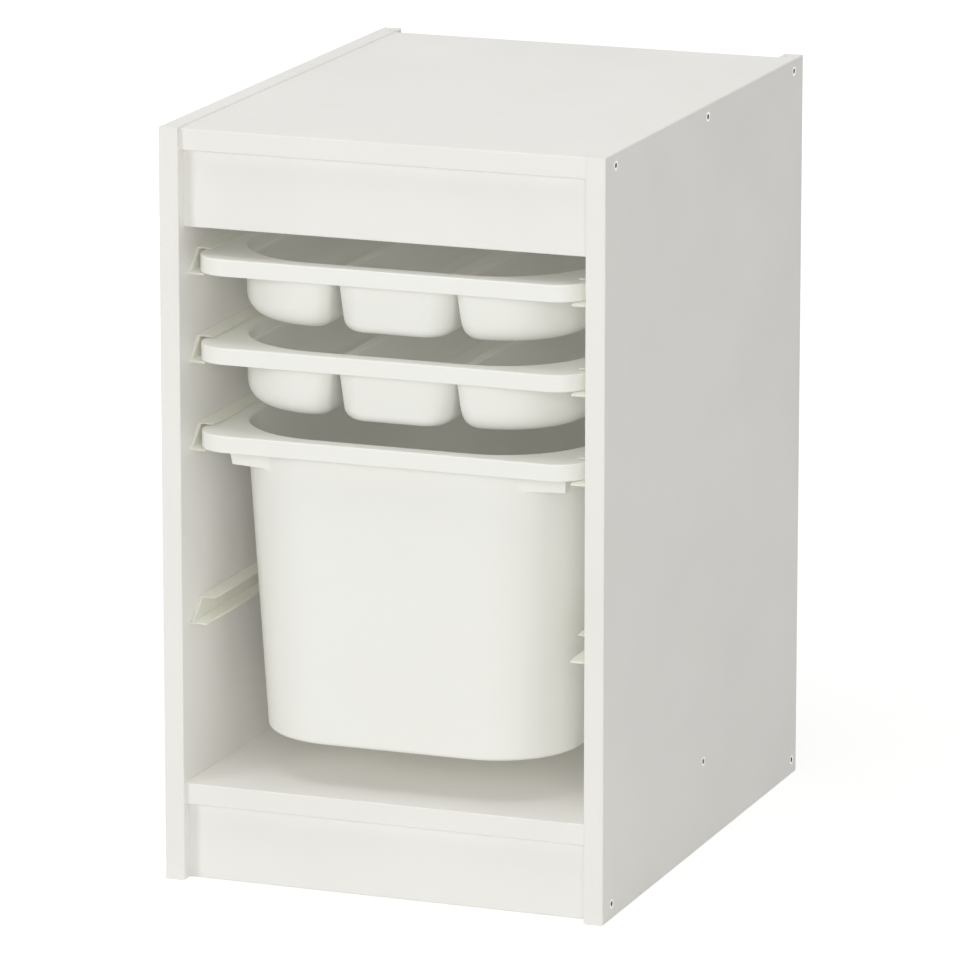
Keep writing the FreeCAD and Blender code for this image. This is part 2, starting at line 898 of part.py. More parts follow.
def make_nails():
    """The nails that hold the back panel to the shelf and the top panel."""
    forwards = FreeCAD.Vector(0, -1, 0)
    rear_face = back_front + dim.back_thickness - dim.overall_depth / 2
    solids = []
    for height in nail_heights():
        for along in nail_places():
            x = along - inner_width / 2
            z = height + dim.plinth_height
            outer = rear_face + dim.nail_head_height
            head = rod("head", x, outer, z, dim.nail_head_diameter, dim.nail_head_height, forwards)
            shank = rod("shank", x, rear_face, z, dim.nail_diameter, dim.nail_length, forwards)
            solids.append(joined("nail", [head, shank]))
    return group("back_panel_nails", solids)


def make_all():
    """Every sub-part, in the order of assembly."""
    parts = [
        make_side("side_panel_left", True),
        make_side("side_panel_right", False),
    ]
    parts += [make_board(label) for label in BOARDS]
    parts.append(make_back())
    for number, level in enumerate(levels, start=1):
        parts.append(make_rail(f"rail_left_{number}", level, True))
        parts.append(make_rail(f"rail_right_{number}", level, False))
    parts.append(make_tray("upper_tray", dim.upper_tray_level))
    parts.append(make_tray("lower_tray", dim.lower_tray_level))
    parts.append(make_bin())
    parts.append(make_screws("panel_screws_left", -1))
    parts.append(make_screws("panel_screws_right", 1))
    parts.append(make_side_dowels("side_dowels_left", -1))
    parts.append(make_side_dowels("side_dowels_right", 1))
    parts.append(make_upright_dowels("front_rail_dowels", "front_rail", "top_panel"))
    parts.append(make_upright_dowels("front_plinth_dowels", "front_plinth", "bottom_shelf"))
    parts.append(make_nails())
    return parts


def check(parts):
    """Stops the build if any object failed or any sub-part has no sound shape."""
    for thing in DRAWING.Objects:
        if "Invalid" in thing.State or "Error" in thing.State:
            raise RuntimeError(f"{thing.Label} failed: {thing.State}")
    for part in parts:
        if part.Shape.isNull() or not part.Shape.isValid():
            raise RuntimeError(f"{part.Label} has no sound shape")


def main():
    parts = make_all()
    DRAWING.recompute()
    check(parts)
    os.makedirs("parts", exist_ok=True)
    for part in parts:
        part.Shape.exportStep(os.path.join("parts", f"{part.Label}.step"))
        solids = part.Shape.Solids
        print(part.Label, len(solids), "solid(s)", round(part.Shape.Volume / 1000, 2), "cm3")


main()
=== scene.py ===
"""A narrow white storage frame with two divided trays and a deep bin on plastic rails.

The boards, screws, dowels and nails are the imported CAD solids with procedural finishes.  The
trays, the bin and the rails are new moulded surfaces that stand where their solids are.
Lengths of the moulded surfaces are in millimetres until a mesh is made.  The frame's boxes, the
finishes, the lamps and the camera are in metres.
"""

import math

import bmesh
import bpy
import numpy as np
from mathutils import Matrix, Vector


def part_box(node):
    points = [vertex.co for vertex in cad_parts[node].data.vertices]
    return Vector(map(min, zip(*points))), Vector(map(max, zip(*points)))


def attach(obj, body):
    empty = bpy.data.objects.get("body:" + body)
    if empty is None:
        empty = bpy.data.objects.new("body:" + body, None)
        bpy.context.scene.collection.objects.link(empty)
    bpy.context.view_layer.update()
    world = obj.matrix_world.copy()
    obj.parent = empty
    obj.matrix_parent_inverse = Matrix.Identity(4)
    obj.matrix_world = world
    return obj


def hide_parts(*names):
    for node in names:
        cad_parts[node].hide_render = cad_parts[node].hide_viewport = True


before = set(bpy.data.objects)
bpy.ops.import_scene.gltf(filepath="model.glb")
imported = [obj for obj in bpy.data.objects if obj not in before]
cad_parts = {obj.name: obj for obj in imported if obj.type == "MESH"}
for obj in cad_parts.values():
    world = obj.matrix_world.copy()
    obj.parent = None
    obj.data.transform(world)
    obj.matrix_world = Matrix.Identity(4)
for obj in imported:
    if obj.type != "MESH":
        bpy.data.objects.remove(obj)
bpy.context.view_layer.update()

MM = 0.001

# how a plan ring is divided: steps round a corner, and shares along a side
CORNER_STEPS = 20
SIDE_SHARES = np.array([0.02, 0.5, 0.98])
# the least radius that a corner is drawn in to
TIGHTEST = 0.6

# the rim that the trays and the bin share, and the top of the body under it, as half sizes
RIM_WIDE, RIM_LONG, RIM_TALL, RIM_CORNER = 150.0, 210.0, 12.5, 27.0
BODY_WIDE, BODY_LONG, BODY_CORNER = 135.0, 199.5, 75.0
WALL = 2.5

# the trays' cups
TRAY_DEPTH, TRAY_DRAFT = 50.0, 3.0
DIVIDER, DIVIDER_LEG, DIVIDER_TOP = 46.5, 11.0, -8.5
COLLAR, LEDGE = -11.0, 2.5
# the cups' plan corners, each with how much it changes from the collar to the base
OUTER_CORNER, OUTER_CORNER_LESS = 74.34, 8.34
SIDE_CORNER, SIDE_CORNER_MORE = 11.5, 1.5
MIDDLE_CORNER = 20.0
# half the gap between two cups at the collar, and how much it widens to the base
CUP_GAP, CUP_GAP_MORE = 1.25, 4.5
# the radius of each cup's base edge away from the dividers, and at them, outside and inside
CUP_FILLETS, DIVIDER_FILLET, INSIDE_TIGHTER = (17.0, 8.0, 17.0), 8.0, 2.0
# how far the flat of a cup's base begins beyond its rounded edge
FLAT_START = 0.7

# the bin
BIN_DEPTH, BIN_SIDE_DRAFT, BIN_END_DRAFT = 230.0, 15.0, 11.0
STOP_START, STOP_END, STOP_FRONT, STOP_DEEP, STOP_TALL = 94.0, 130.0, 186.5, 10.0, 25.8
STOP_SOFTNESS = 3.0

# the rails
RAIL_LONG, RAIL_TALL, RAIL_SLOT, RAIL_SEAT = 404.0, 15.4, 13.9, 2.2
RAIL_REACH, RAIL_WEB, RAIL_PEG = 13.0, 2.5, 6.6
RAIL_SLANT, RAIL_LEAD, RAIL_LEAD_CUT = 16.0, 23.0, 0.5
RAIL_NOSE, RAIL_NOSE_DROP = 12.0, 0.9
RAIL_PEG_PLACES = (60.0, 202.0, 359.0)
# how much further the rails on the right reach, and how much nearer the front they start
RIGHT_RAIL_REACH, RIGHT_RAIL_AHEAD = 1.5, 6.0


# ---------------------------------------------------------------- surfaces


def plan_ring(left, right, front, rear, radii, square=(False, False, False, False)):
    """Points round a rectangle in plan, anticlockwise from its front side.

    The corners go front right, rear right, rear left and front left.  A round corner is its
    middle plus radius times (sin a along the way in, minus cos a along the way out), with a
    from 0 to a quarter turn.  A square one runs straight to the corner and on.  A side is a
    straight blend from one corner's end to the next one's start.  Every size is an array with
    one value for each station, and the answer has a row of points for each.
    """
    sides = [np.atleast_1d(side).astype(float) for side in (left, right, front, rear)]
    left, right, front, rear = np.broadcast_arrays(*sides)
    headings = np.array([(1, 0), (0, 1), (-1, 0), (0, -1)], float)
    turn = np.linspace(0, 1, CORNER_STEPS + 1)[None, :, None]
    corners = []
    for k, (x, y) in enumerate(((right, front), (right, rear), (left, rear), (left, front))):
        into, out = headings[k], headings[(k + 1) % 4]
        tip = np.stack([x, y], -1)[:, None, :]
        reach = np.broadcast_to(np.asarray(radii[k], float), x.shape)[:, None, None]
        if square[k]:
            before = np.clip(1 - 2 * turn, 0, 1)
            after = np.clip(2 * turn - 1, 0, 1)
            corners.append(tip - reach * before * into + reach * after * out)
        else:
            angle = turn * math.pi / 2
            middle = tip - reach * into + reach * out
            corners.append(middle + reach * (np.sin(angle) * into - np.cos(angle) * out))
    blocks = []
    for k in range(4):
        start = corners[k - 1][:, -1:, :]
        end = corners[k][:, :1, :]
        blocks.append(start + (end - start) * SIDE_SHARES[None, :, None])
        blocks.append(corners[k])
    return np.concatenate(blocks, 1)


# how many points a side and its corner have, and which point is halfway round each corner
BLOCK = len(SIDE_SHARES) + CORNER_STEPS + 1
MIDWAY = [k * BLOCK + len(SIDE_SHARES) + CORNER_STEPS // 2 for k in range(4)]


def stretch(ring, first, last):
    """The part of closed rings from one point to another, without the last point."""
    turned = np.roll(ring, -first, axis=1)
    return turned[:, : (last - first) % ring.shape[1]]


def cell_ring(which, wide, long, radius):
    """The edge of one cup's share of a tray, square where it meets its neighbours.

    The cups are 0, 1 and 2 from the left.
    """
    leg = DIVIDER_LEG
    if which == 0:
        return plan_ring(-wide, -DIVIDER, -long, long, (leg, leg, radius, radius), (1, 1, 0, 0))
    if which == 1:
        return plan_ring(-DIVIDER, DIVIDER, -long, long, (leg,) * 4, (1, 1, 1, 1))
    return plan_ring(DIVIDER, wide, -long, long, (radius, radius, leg, leg), (0, 0, 1, 1))


def tray_ring(wide, long, radius):
    """A rounded rectangle whose front and rear points meet the dividers' middle lines.

    It is the outer stretches of three cells side by side, joined into one ring.
    """
    left, middle, right = (cell_ring(which, wide, long, radius) for which in range(3))
    return np.concatenate(
        [
            stretch(left, MIDWAY[1], MIDWAY[0]),
            stretch(middle, MIDWAY[3], MIDWAY[0]),
            stretch(right, MIDWAY[3], MIDWAY[2]),
            stretch(middle, MIDWAY[1], MIDWAY[2]),
        ],
        1,
    )


def bin_ring(wide, long, radius):
    """A rounded rectangle about the rim's middle."""
    return plan_ring(-wide, wide, -long, long, (radius,) * 4)


def bend(inset, height, radius, start, end, steps=6):
    """An arc of a profile: its middle plus radius times (cos, sin), from start to end degrees."""
    angle = np.radians(np.linspace(start, end, steps + 1))
    return np.stack([inset + radius * np.cos(angle), height + radius * np.sin(angle)], -1)


def base_fillet(height, radius):
    """How far a round base edge stands in: its radius less the root of a circle's remainder."""
    up = np.clip(radius - height, 0, radius)
    return radius - np.sqrt(radius**2 - up**2)


def rim_sizes(profile):
    """Half width, half length, corner and height of rim stations, each an inset and a height."""
    inset, height = np.asarray(profile, float).T
    return np.stack([RIM_WIDE - inset, RIM_LONG - inset, RIM_CORNER - inset, height])


def body_sizes(profile, depth, side_draft, end_draft):
    """The same for the wall under the rim, which draws in evenly from the lip to the base."""
    inset, height = np.asarray(profile, float).T
    sunk = -height / depth
    wide = BODY_WIDE - side_draft * sunk - inset
    long = BODY_LONG - end_draft * sunk - inset
    corner = np.maximum(BODY_CORNER - end_draft * sunk - inset, TIGHTEST)
    return np.stack([wide, long, corner, height])


def rim_profile():
    """The rim from its lip over the outer edge, down the skirt and back up inside it."""
    return np.concatenate(
        [
            [(6.0, 0.0), (1.2, 0.0)],
            bend(1.0, -1.0, 1.0, 90, 180, 5),
            [(0.0, -1.3), (0.0, -11.8)],
            bend(0.45, -RIM_TALL + 0.45, 0.45, 180, 270, 3),
            bend(WALL - 0.45, -RIM_TALL + 0.45, 0.45, 270, 360, 3),
            [(WALL, -11.6), (WALL, -4.0)],
            bend(WALL + 1, -WALL - 1, 1.0, 180, 90, 3),
            [(4.0, -WALL)],
        ]
    )


def lift(rings, height):
    """Gives plan rings their heights, so that they become points in space."""
    tall = np.broadcast_to(height[:, None, None], rings.shape[:2] + (1,))
    return np.concatenate([rings, tall], 2)


def skin(rings, cap_first=False, cap_last=False):
    """Points and faces of a surface through closed rings, with flat ends where asked."""
    stations, around = rings.shape[:2]
    points = rings.reshape(-1, 3)
    index = np.arange(stations * around).reshape(stations, around)
    following = np.roll(index, -1, axis=1)
    sides = np.stack([index[:-1], following[:-1], following[1:], index[1:]], -1)
    faces = sides.reshape(-1, 4).tolist()
    for wanted, row in ((cap_first, 0), (cap_last, stations - 1)):
        if wanted:
            hub = len(points)
            points = np.concatenate([points, rings[row].mean(0)[None]])
            spokes = np.full(around, hub)
            faces += np.stack([index[row], following[row], spokes], -1).tolist()
    return points, faces


def strip(outer, inner):
    """Points and faces of a wall between two open sheets, closed along all four edges."""
    stations, across = outer.shape[:2]
    points = np.concatenate([outer.reshape(-1, 3), inner.reshape(-1, 3)])
    near = np.arange(stations * across).reshape(stations, across)
    far = near + stations * across

    def sheet_faces(index):
        """The quads of one sheet."""
        return np.stack([index[:-1, :-1], index[:-1, 1:], index[1:, 1:], index[1:, :-1]], -1)

    def edge_faces(first, second):
        """The quads between an edge of one sheet and the same edge of the other."""
        return np.stack([first[:-1], first[1:], second[1:], second[:-1]], -1)

    faces = [
        sheet_faces(near).reshape(-1, 4),
        sheet_faces(far)[..., ::-1].reshape(-1, 4),
        edge_faces(near[0], far[0]),
        edge_faces(near[-1], far[-1]),
        edge_faces(near[:, 0], far[:, 0]),
        edge_faces(near[:, -1], far[:, -1]),
    ]
    return points, np.concatenate(faces).tolist()


def make_piece(name, blocks, origin, crease=40):
    """Welds blocks of points and faces into one smooth mesh piece, with its normals outwards."""
    points = np.concatenate([block[0] for block in blocks])
    counts = np.cumsum([0] + [len(block[0]) for block in blocks])
    faces = []
    for (_, block_faces), start in zip(blocks, counts):
        faces += [[corner + start for corner in face] for face in block_faces]
    mesh = bpy.data.meshes.new(name)
    mesh.from_pydata((points * MM + np.asarray(origin)).tolist(), [], faces)
    work = bmesh.new()
    work.from_mesh(mesh)
    bmesh.ops.remove_doubles(work, verts=work.verts, dist=0.003 * MM)
    bmesh.ops.recalc_face_normals(work, faces=work.faces)
    work.to_mesh(mesh)
    work.free()
    mesh.shade_smooth()
    mesh.set_sharp_from_angle(angle=math.radians(crease))
    piece = bpy.data.objects.new(name, mesh)
    bpy.context.scene.collection.objects.link(piece)
    return piece


def ease_edges(piece, width):
    """Rounds a piece's sharp edges a little, as a mould does."""
    bevel = piece.modifiers.new("eased_edges", "BEVEL")
    bevel.width = width * MM
    bevel.segments = 2
    bevel.limit_method = "ANGLE"
    bevel.angle_limit = math.radians(45)
    bevel.harden_normals = True


def hanging_point(node):
    """The middle of a container's rim, at the top of its lip, in metres."""
    low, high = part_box(node)
    return ((low.x + high.x) / 2, (low.y + high.y) / 2, high.z)


# ---------------------------------------------------------------- the bin


def bin_body():
    """The bin's skin: up the inside, over the lip, round the skirt and down the outside.

    Each station is a rounded rectangle given by an inset from the drafted wall and a height.
    """
    floor = WALL - BIN_DEPTH
    inside = np.concatenate(
        [
            [(60.0, floor), (7.0, floor)],
            bend(6.5, floor + 4.0, 4.0, 270, 180, 6),
            [(WALL, floor + 4.6), (WALL, -150.0), (WALL, -60.0), (WALL, -1.8)],
            bend(WALL - 1.5, -1.5, 1.5, 0, 90, 5),
            [(0.6, 0.0), (-2.1, 0.0)],
        ]
    )
    outside = np.concatenate(
        [
            [(-3.0, -WALL)],
            bend(-1.0, -WALL - 1, 1.0, 90, 0, 3),
            [(0.0, -4.2), (0.0, -60.0), (0.0, -150.0), (0.0, 3.4 - BIN_DEPTH)],
            bend(3.0, 3.0 - BIN_DEPTH, 3.0, 180, 270, 6),
            [(3.5, -BIN_DEPTH), (60.0, -BIN_DEPTH)],
        ]
    )
    draft = (BIN_DEPTH, BIN_SIDE_DRAFT, BIN_END_DRAFT)
    sizes = np.concatenate(
        [body_sizes(inside, *draft), rim_sizes(rim_profile()), body_sizes(outside, *draft)], 1
    )
    wide, long, corner, height = sizes
    return skin(lift(bin_ring(wide, long, corner), height), True, True)


def bin_stop(across, away):
    """One stop under the rim: a front plate with a short return, drawn down from the lip.

    The plate's outer face is the mean of its own plane and the body's round corner plus half
    the root of their gap squared and the softness squared.  That fades into the wall at its
    inner end, where the inner face stays 0.4 mm within the wall.  On the way down the outer
    end leans in by 1.6 mm and back by 4 mm, and the lower edge hooks down by 1 mm at the body.
    """
    blend_end = STOP_START + 12.0
    lean_in, lean_back, hook_drop, within_wall = 1.6, 4.0, 1.0, 0.4
    plate = np.concatenate(
        [np.linspace(STOP_START, blend_end, 13), np.linspace(blend_end + 2.0, STOP_END, 9)]
    )
    back = np.linspace(0, STOP_DEEP, 5)[1:]
    outer_x = np.concatenate([plate, np.full(len(back), STOP_END)])
    plane_y = np.concatenate([np.full(len(plate), STOP_FRONT), STOP_FRONT - back])
    hook = hook_drop * np.clip((104.5 - outer_x) / 5.0, 0, 1) ** 2
    down = np.linspace(0, 1, 6)[:, None]
    height = -1.2 - (STOP_TALL + hook[None]) * down
    sunk = -height / BIN_DEPTH
    middle_x = BODY_WIDE - BODY_CORNER - (BIN_SIDE_DRAFT - BIN_END_DRAFT) * sunk
    radius = BODY_CORNER - BIN_END_DRAFT * sunk

    def wall_y(x, inset):
        """How far along Y the body's round corner reaches at x, less an inset."""
        across_corner = np.maximum((radius - inset) ** 2 - (x - middle_x) ** 2, 0)
        return BODY_LONG - BODY_CORNER + np.sqrt(across_corner)

    wall_outside = wall_y(outer_x, 0.0)
    gap = plane_y - wall_outside
    soft = (plane_y + wall_outside + np.sqrt(gap**2 + STOP_SOFTNESS**2)) / 2
    hard = np.maximum(plane_y, wall_outside)
    fade = np.clip((outer_x - STOP_START) / 6.0, 0, 1)
    outer_y = hard + (soft - hard) * fade - 0.2 * (1 - fade)
    inner_x = np.minimum(outer_x, STOP_END - WALL)
    straight = np.minimum(plane_y, STOP_FRONT - WALL)
    in_wall = np.maximum(straight, wall_y(inner_x, WALL) + within_wall)
    inner_y = np.where(outer_x < blend_end, in_wall, straight)
    outwards = np.clip((outer_x - 108.0) / (STOP_END - 108.0), 0, 1)
    lean = np.clip((-height - RIM_TALL) / 15.0, 0, 1) * outwards

    def sheet(x, y):
        """Leans a face's plan points and puts them in the stop's own corner of the bin."""
        placed = [(x - lean_in * lean) * across, (y - lean_back * lean) * away, height]
        return np.stack(placed, -1)

    return strip(sheet(outer_x, outer_y), sheet(inner_x, inner_y))


def make_bin():
    """The bin with its four stops, one near each corner."""
    blocks = [bin_body()] + [bin_stop(across, away) for across in (-1, 1) for away in (-1, 1)]
    piece = make_piece("storage_bin_moulding", blocks, hanging_point("storage_bin"))
    ease_edges(piece, 0.5)
    return piece


# ---------------------------------------------------------------- the trays


def cup_rings(which, outer_inset, divider_inset, height):
    """Plan rings of one cup.

    An outer side lies on the tray's drafted wall less outer_inset, and a divider side stands
    off the divider's middle line by half the gap, which widens downwards, plus divider_inset.
    """
    outer_inset, divider_inset, height = np.broadcast_arrays(outer_inset, divider_inset, height)
    sunk = -height / TRAY_DEPTH
    deep = (COLLAR - height) / (COLLAR + TRAY_DEPTH)
    wide = BODY_WIDE - TRAY_DRAFT * sunk - outer_inset
    long = BODY_LONG - TRAY_DRAFT * sunk - outer_inset
    off = CUP_GAP + CUP_GAP_MORE * deep + divider_inset
    outer_corner = np.maximum(OUTER_CORNER - OUTER_CORNER_LESS * deep - outer_inset, TIGHTEST)
    side_corner = np.maximum(SIDE_CORNER + SIDE_CORNER_MORE * deep - divider_inset, TIGHTEST)
    middle_corner = np.maximum(MIDDLE_CORNER - divider_inset, TIGHTEST)
    if which == 0:
        radii = (side_corner, side_corner, outer_corner, outer_corner)
        return plan_ring(-wide, -DIVIDER - off, -long, long, radii)
    if which == 1:
        return plan_ring(-DIVIDER + off, DIVIDER - off, -long, long, (middle_corner,) * 4)
    radii = (outer_corner, outer_corner, side_corner, side_corner)
    return plan_ring(DIVIDER + off, wide, -long, long, radii)


def cup_inside(which, edge):
    """One cup's inner skin: from its share of the ledge over a soft edge down to the floor.

    The ledge stands in from the wall by LEDGE at the top, which fades out towards the floor.
    The base edge is wider round the tray's ends than at the dividers.
    """
    floor = WALL - TRAY_DEPTH
    radius = CUP_FILLETS[which] - INSIDE_TIGHTER
    flat = WALL + radius
    profile = np.concatenate(
        [
            bend(WALL - 1.5, DIVIDER_TOP - 1.5, 1.5, 90, 0, 5),
            [(WALL, -10.6), (WALL, -20.0), (WALL, floor + radius + FLAT_START)],
            bend(flat, floor + radius, radius, 180, 270, 14),
            [(flat + FLAT_START, floor), (flat + 3.5, floor)],
        ]
    )
    inset, height = profile.T
    side = np.minimum(inset, WALL) + base_fillet(height - floor, DIVIDER_FILLET - INSIDE_TIGHTER)
    side[-2:] = 9.2, 12.0
    ledge = LEDGE * (height - floor) / (DIVIDER_TOP - floor)
    rings = lift(cup_rings(which, inset + ledge, side, height), height)
    wide, long, corner, top = edge
    border = lift(cell_ring(which, wide, long, corner), np.atleast_1d(top))
    return skin(np.concatenate([border, rings]), False, True)


def cup_outside(which, edge):
    """One cup's outer skin: from the collar down the wall, round the base and across it.

    At the top the divider sides flare into the collar over the first three stations.
    """
    radius = CUP_FILLETS[which]
    fillet = bend(radius, radius - TRAY_DEPTH, radius, 180, 270, 16)
    wall = [COLLAR, -11.15, -11.5, -12.0, -12.6, -22.0, radius + 0.8 - TRAY_DEPTH]
    flat = [radius + FLAT_START, radius + 4.0]
    inset = np.concatenate([np.zeros(len(wall)), fillet[:, 0], flat])
    height = np.concatenate([wall, fillet[:, 1], [-TRAY_DEPTH, -TRAY_DEPTH]])
    side = base_fillet(height + TRAY_DEPTH, DIVIDER_FILLET)
    side[:3] -= 1.0, 0.5, 0.15
    side[-2:] = 8.7, 12.0
    rings = lift(cup_rings(which, inset, side, height), height)
    wide, long, corner, top = edge
    border = lift(cell_ring(which, wide, long, corner), np.atleast_1d(top))
    return skin(np.concatenate([border, rings]), False, True)


def make_tray(node):
    """A tray: a basin under the rim, a ledge and collar round it, and three cups below."""
    draft = (TRAY_DEPTH, TRAY_DRAFT, TRAY_DRAFT)
    basin = np.concatenate(
        [
            [(3.2, DIVIDER_TOP)],
            bend(3.1, DIVIDER_TOP + 0.6, 0.6, 270, 180, 3)[1:],
            [(WALL, -1.8)],
            bend(WALL - 1.5, -1.5, 1.5, 0, 90, 5),
            [(0.6, 0.0), (-2.1, 0.0)],
        ]
    )
    collar = np.concatenate(
        [[(-3.0, -WALL)], bend(-1.0, -WALL - 1, 1.0, 90, 0, 3), [(0.0, -4.2), (0.0, COLLAR)]]
    )
    inner, outer = body_sizes(basin, *draft), body_sizes(collar, *draft)
    wide, long, corner, height = np.concatenate([inner, rim_sizes(rim_profile()), outer], 1)
    blocks = [skin(lift(tray_ring(wide, long, corner), height))]
    for which in range(3):
        blocks.append(cup_inside(which, inner[:, 0]))
        blocks.append(cup_outside(which, outer[:, -1]))
    return make_piece(f"{node}_moulding", blocks, hanging_point(node))


# ---------------------------------------------------------------- the rails


def rail_wall(side, reach, ahead):
    """A rail's C section carried along the side panel.

    The section is a folded strip with an outer and an inner line.  Its front end lies further
    back the higher it is, by RAIL_SLANT over the slot's height, which slants the web.  Near the
    front the free edges draw in evenly, and the upper faces of both flanges drop in a short
    nose, by the square of the distance from its root and half as much on the upper one.
    """
    half, middle = reach / 2 + 1, RAIL_SLOT / 2
    outer = [(reach, RAIL_TALL), (half, RAIL_TALL), (0, RAIL_TALL), (0, middle), (0, -RAIL_SEAT)]
    outer = np.array(outer + [(half, -RAIL_SEAT), (reach, -RAIL_SEAT)])
    inner = [(reach, RAIL_SLOT), (half, RAIL_SLOT), (RAIL_WEB, RAIL_SLOT), (RAIL_WEB, middle)]
    inner = np.array(inner + [(RAIL_WEB, 0), (half, 0), (reach, 0)])
    start = RAIL_SLANT * np.clip(inner[:, 1] / RAIL_SLOT, 0, 1)[None] - ahead
    near = np.array([0.0, 3.0, 6.0, RAIL_NOSE, RAIL_LEAD, 40.0])[:, None] + start
    far = np.broadcast_to([[120.0], [202.0], [300.0], [RAIL_LONG]], (4, inner.shape[0]))
    along = np.concatenate([near, far])
    past = along - start
    draw_in = RAIL_LEAD_CUT * np.clip(1 - past / RAIL_LEAD, 0, 1)
    nose = RAIL_NOSE_DROP * np.clip(1 - past / RAIL_NOSE, 0, 1) ** 2

    def sheet(section, dips):
        """Carries one line of the section along the rail, with its nose."""
        x = section[None, :, 0] - draw_in * (section[None, :, 0] > reach - 1)
        z = section[None, :, 1] - nose * dips[None]
        return np.stack([x * side, along, np.broadcast_to(z, along.shape)], -1)

    upper_faces = np.array([0.5, 0.5, 0.5, 0, 0, 0, 0.0])
    seat_faces = np.array([0, 0, 0, 0, 0, 1, 1.0])
    return strip(sheet(outer, upper_faces), sheet(inner, seat_faces))


def rail_peg(side, along):
    """A peg behind the rail: a circle of points carried into the wall, with a narrower tip."""
    angle = np.linspace(0, 2 * math.pi, 24, endpoint=False)[None]
    depth = np.array([0.3, -7.0, -7.8])[:, None]
    radius = np.array([3.0, 3.0, 2.4])[:, None]
    y = along + radius * np.cos(angle)
    z = RAIL_PEG + radius * np.sin(angle)
    x = np.broadcast_to(depth * side, y.shape)
    return skin(np.stack([x, y, z], -1), True, True)


def make_rail(node, side):
    """One rail with its three pegs.  side is 1 for a rail on the left wall.

    The rails on the right show more of their noses than the solids do, so they start nearer
    the front and reach further over the rim.
    """
    low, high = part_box(node)
    wall_face = (high.x - RAIL_REACH * MM) if side > 0 else (low.x + RAIL_REACH * MM)
    origin = (wall_face, low.y, low.z + RAIL_SEAT * MM)
    reach, ahead = RAIL_REACH, 0.0
    if side < 0:
        reach, ahead = RAIL_REACH + RIGHT_RAIL_REACH, RIGHT_RAIL_AHEAD
    blocks = [rail_wall(side, reach, ahead)] + [rail_peg(side, along) for along in RAIL_PEG_PLACES]
    piece = make_piece(f"{node}_moulding", blocks, origin)
    ease_edges(piece, 0.4)
    return piece


# ---------------------------------------------------------------- finishes

# how wide the hairline between two foils is, in metres
SEAM_WIDTH = 0.00018


class Finish:
    """A material being made: its shader, and the nodes that feed the shader's sockets."""

    def __init__(self, name, **constants):
        self.material = bpy.data.materials.new(name)
        self.material.use_nodes = True
        self.tree = self.material.node_tree
        self.shader = self.tree.nodes["Principled BSDF"]
        for socket, value in constants.items():
            self.shader.inputs[socket.replace("_", " ")].default_value = value
        self.place = self.node("ShaderNodeTexCoord", output="Object")

    def node(self, kind, wires=None, output=0, **settings):
        """Adds a node and gives one of its outputs.

        A wire is another node's output or a constant for an input.
        """
        made = self.tree.nodes.new(kind)
        for name, value in settings.items():
            setattr(made, name, value)
        for socket, value in (wires or {}).items():
            if isinstance(value, bpy.types.NodeSocket):
                self.tree.links.new(value, made.inputs[socket])
            else:
                made.inputs[socket].default_value = value
        return made.outputs[output]

    def maths(self, operation, first, second=0.0, third=0.0):
        """One step of arithmetic on wires or numbers."""
        return self.node("ShaderNodeMath", {0: first, 1: second, 2: third}, operation=operation)

    def noise(self, scale, detail=2.0, roughness=0.5, place=None):
        """Cloudy noise from 0 to 1, with its scale per metre."""
        wires = {"Vector": place or self.place, "Scale": scale, "Detail": detail}
        return self.node("ShaderNodeTexNoise", {**wires, "Roughness": roughness})

    def ramp(self, value, low, high, start, end):
        """A straight map of a value from low..high to start..end, held at both ends."""
        return self.node("ShaderNodeMapRange", {0: value, 1: low, 2: high, 3: start, 4: end})

    def stretched(self, x, y, z):
        """The object's coordinates, scaled along each axis."""
        return self.node("ShaderNodeMapping", {"Vector": self.place, "Scale": (x, y, z)})

    def blend(self, share, first, second):
        """A colour between two others."""
        wires = {0: share, 6: first, 7: second}
        return self.node("ShaderNodeMix", wires, output=2, data_type="RGBA")

    def feed(self, **wires):
        """Joins outputs to the shader's sockets of the same names."""
        for socket, value in wires.items():
            self.tree.links.new(value, self.shader.inputs[socket.replace("_", " ")])

    def axes(self, vector):
        """A vector's three coordinates."""
        parts = self.tree.nodes.new("ShaderNodeSeparateXYZ")
        self.tree.links.new(vector, parts.inputs[0])
        return parts.outputs

    def bumps(self, height, distance, strength=1.0, under=None):
        """A normal that follows a height, on top of another normal where one is given."""
        wires = {"Height": height, "Distance": distance, "Strength": strength}
        if under is not None:
            wires["Normal"] = under
        return self.node("ShaderNodeBump", wires)


def times(tone, share):
    """A colour made darker or lighter, as a shader takes it."""
    return tuple(min(value * share, 1.0) for value in tone) + (1.0,)


def near_edges(finish, box):
    """How far a point on a board is from the board's nearest edge, in metres.

    Each axis gives the depth below the nearer of two faces.  The least of the three is about
    nothing, because the point is on a face, and the middle one is the distance to the edge.
    """
    low, high = box
    middle, half = (low + high) / 2, (high - low) / 2
    offset = finish.node(
        "ShaderNodeVectorMath", {0: finish.place, 1: tuple(middle)}, operation="SUBTRACT"
    )
    span = finish.node("ShaderNodeVectorMath", {0: offset}, operation="ABSOLUTE")
    depth = finish.node("ShaderNodeVectorMath", {0: tuple(half), 1: span}, operation="SUBTRACT")
    x, y, z = finish.axes(depth)
    larger = finish.maths("MAXIMUM", x, y)
    lesser = finish.maths("MINIMUM", x, y)
    return finish.maths("MAXIMUM", lesser, finish.maths("MINIMUM", larger, z))


